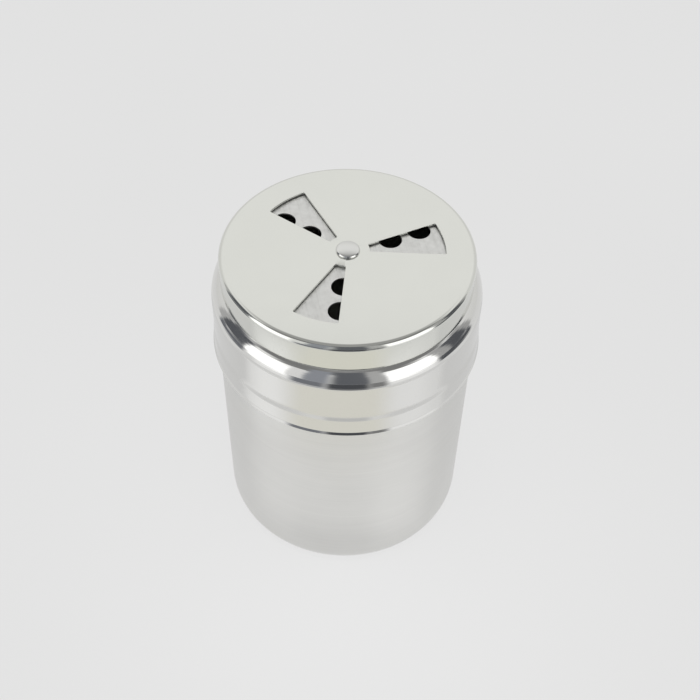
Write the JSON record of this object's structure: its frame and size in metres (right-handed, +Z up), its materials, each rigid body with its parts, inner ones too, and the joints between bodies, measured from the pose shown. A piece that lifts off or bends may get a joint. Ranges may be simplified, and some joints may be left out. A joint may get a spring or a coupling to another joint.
{
  "type": "spice shaker tin",
  "caption": "Round stainless spice tin with a push-on lid and a riveted rotating cover whose wedge windows uncover round dispensing holes.",
  "frame": {"origin": "on the tin's axis, in the plane of the standing ring under the cup", "axes": "+Z up along the axis, from the base to the rotating cover; +X through the middle of the cover's first window at rest"},
  "size_m": [0.0658, 0.0656, 0.087],
  "materials": {
    "brushed_wall": "fine circumferential brushing",
    "polished_lid": "polished skirt and shoulder, satin plate",
    "polished_cover": "soft polish with fine handling marks",
    "rivet_steel": "polished",
    "washer_steel": "plain rolled"
  },
  "bodies": {
    "cup": {"cup": "brushed_wall"},
    "lid": {"lid_shell": "polished_lid", "rivet": "rivet_steel", "spring_washer": "washer_steel", "backing_washer": "washer_steel"},
    "cover": {"rotating_cover": "polished_cover"}
  },
  "joints": [
    {"name": "lid_lift", "type": "slide", "parent": "cup", "child": "lid", "axis": [0, 0, 1], "range_m": [0, 0.05]},
    {"name": "cover_turn", "type": "hinge", "parent": "lid", "child": "cover", "pos_m": [0, 0, 0.086], "axis": [0, 0, 1], "continuous": true}
  ]
}
